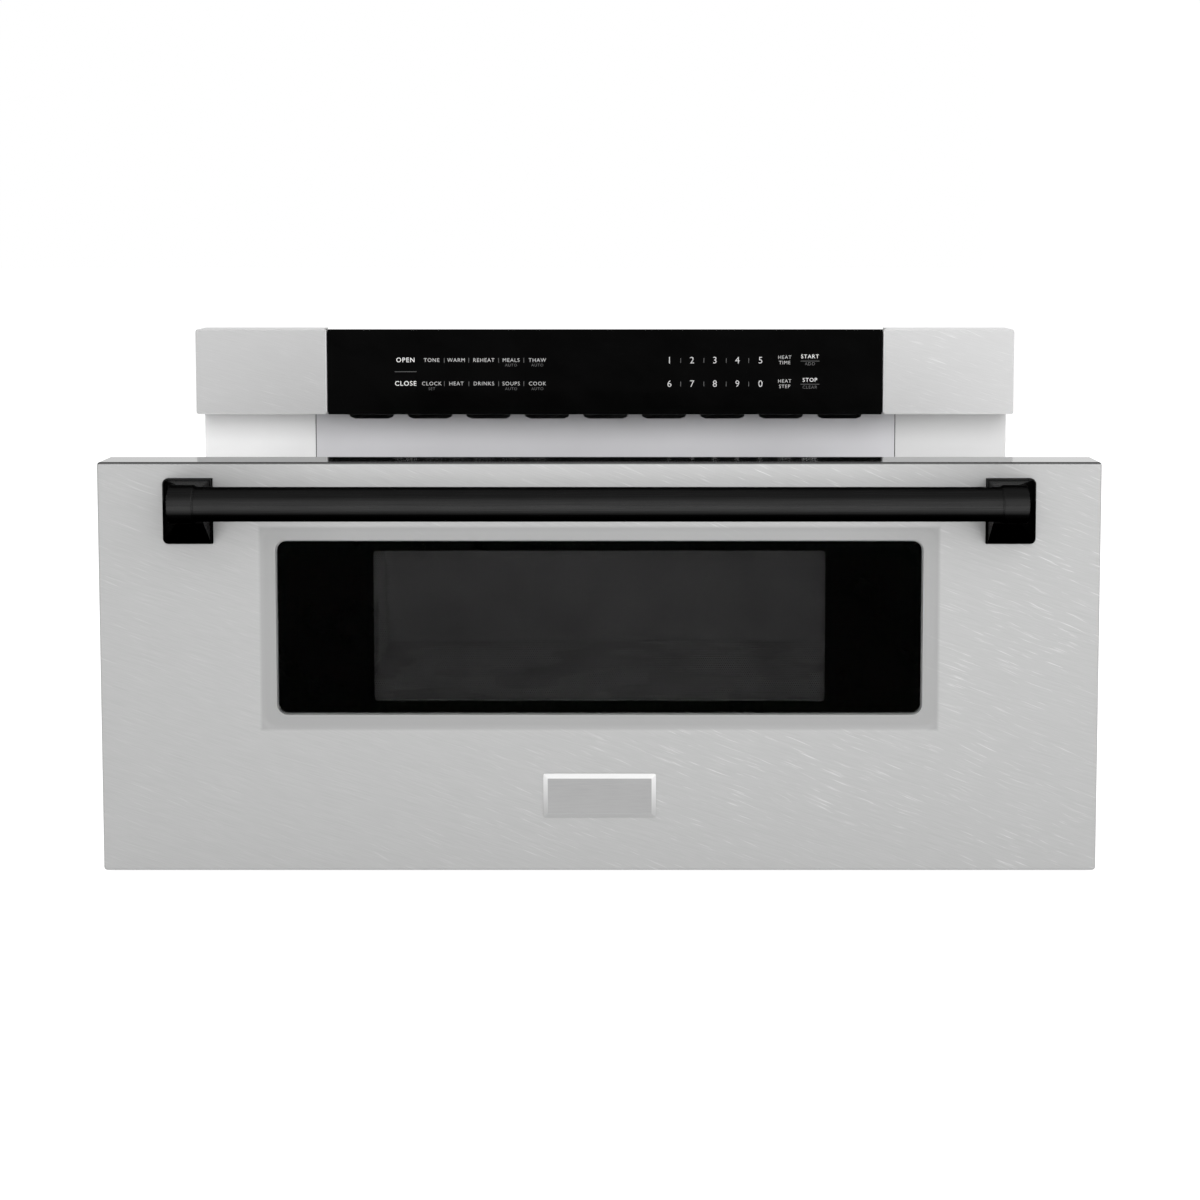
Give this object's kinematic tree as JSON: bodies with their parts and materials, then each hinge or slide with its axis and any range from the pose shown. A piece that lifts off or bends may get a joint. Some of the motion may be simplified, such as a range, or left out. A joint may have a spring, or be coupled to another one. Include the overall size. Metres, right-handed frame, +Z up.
{
  "type": "microwave drawer",
  "caption": "Built-in microwave drawer: stainless door with dark window and bar handle, touch panel above, telescopic slides, rack drive.",
  "frame": {"origin": "middle of the case's underside", "axes": "+X to the right seen from the front, +Y to the back, +Z up; the drawer runs out towards -Y"},
  "size_m": [0.759, 1.0905, 0.399],
  "materials": {
    "brushed_steel": "brushed stainless steel with fine slanting grain",
    "handle_metal": "dark satin metal",
    "zinc_sheet": "galvanised sheet",
    "slide_steel": "bright zinc plate",
    "pale_enamel": "pale grey enamel",
    "cavity_enamel": "grey enamel",
    "black_glass": "black-backed glass",
    "clear_glass": "clear glass",
    "screen_steel": "perforated dark steel sheet",
    "black_plastic": "moulded black plastic",
    "grey_plastic": "moulded grey plastic",
    "white_ceramic": "white glass ceramic",
    "circuit_board": "green circuit board",
    "motor_steel": "plated steel",
    "iron_core": "varnished laminations"
  },
  "bodies": {
    "case": {"case_base": "zinc_sheet", "case_top": "zinc_sheet", "case_side_left": "zinc_sheet", "case_side_right": "zinc_sheet", "case_rear": "zinc_sheet", "cord_bushing": "black_plastic", "face_plate_middle": "pale_enamel", "face_plate_left": "pale_enamel", "face_plate_right": "pale_enamel", "cavity_shell": "cavity_enamel", "stirrer_cover": "white_ceramic", "cavity_lamp": "grey_plastic", "waveguide": "zinc_sheet", "magnetron": "motor_steel", "stirrer_motor": "motor_steel", "fan_shroud": "black_plastic", "fan_motor": "motor_steel", "exhaust_duct": "grey_plastic", "hv_transformer": "iron_core", "hv_capacitor": "motor_steel", "filter_board": "circuit_board", "control_housing": "black_plastic", "touch_glass": "black_glass", "control_end_left": "brushed_steel", "control_end_right": "brushed_steel", "control_board": "circuit_board", "slide_outer_left": "zinc_sheet", "slide_outer_right": "zinc_sheet", "drive_gearbox": "black_plastic", "drive_motor": "motor_steel", "interlock_switch_left": "grey_plastic", "interlock_switch_right": "grey_plastic"},
    "drawer": {"door_skin": "brushed_steel", "door_frame": "zinc_sheet", "choke_cover": "black_plastic", "window_glass": "black_glass", "window_screen": "screen_steel", "window_inner_pane": "clear_glass", "plaque": "brushed_steel", "handle_bracket_left": "handle_metal", "handle_bracket_right": "handle_metal", "handle_screw_left": "zinc_sheet", "handle_screw_right": "zinc_sheet", "handle_bar": "handle_metal", "drawer_box": "cavity_enamel", "ceramic_floor": "white_ceramic", "slide_inner_left": "slide_steel", "slide_inner_right": "slide_steel", "slide_bracket_left": "zinc_sheet", "slide_bracket_right": "zinc_sheet", "drive_rack": "grey_plastic", "latch_hook_left": "black_plastic", "latch_hook_right": "black_plastic"},
    "slide_left": {"slide_middle_left": "slide_steel"},
    "slide_right": {"slide_middle_right": "slide_steel"},
    "pinion": {"drive_pinion": "grey_plastic"},
    "stirrer": {"stirrer": "zinc_sheet"},
    "fan": {"fan_wheel": "grey_plastic"}
  },
  "joints": [
    {"name": "drawer_slide", "type": "slide", "parent": "case", "child": "drawer", "axis": [0, 1, 0], "range_m": [0, 0.381]},
    {"name": "left_slide_run", "type": "slide", "parent": "case", "child": "slide_left", "axis": [0, 1, 0], "range_m": [0, 0.1905]},
    {"name": "right_slide_run", "type": "slide", "parent": "case", "child": "slide_right", "axis": [0, 1, 0], "range_m": [0, 0.1905]},
    {"name": "pinion_turn", "type": "hinge", "parent": "case", "child": "pinion", "pos_m": [0, -0.262, 0.04263], "axis": [1, 0, 0], "range_deg": [0, 1092]},
    {"name": "stirrer_turn", "type": "hinge", "parent": "case", "child": "stirrer", "pos_m": [0, -0.09, 0.28], "axis": [0, 0, 1], "continuous": true},
    {"name": "fan_turn", "type": "hinge", "parent": "case", "child": "fan", "pos_m": [0.094, 0.2085, 0.205], "axis": [1, 0, 0], "continuous": true}
  ],
  "couplings": [
    {"joint": "left_slide_run", "follows": "drawer_slide", "ratio": 0.5},
    {"joint": "right_slide_run", "follows": "drawer_slide", "ratio": 0.5},
    {"joint": "pinion_turn", "follows": "drawer_slide", "rad_per_m": 50}
  ]
}
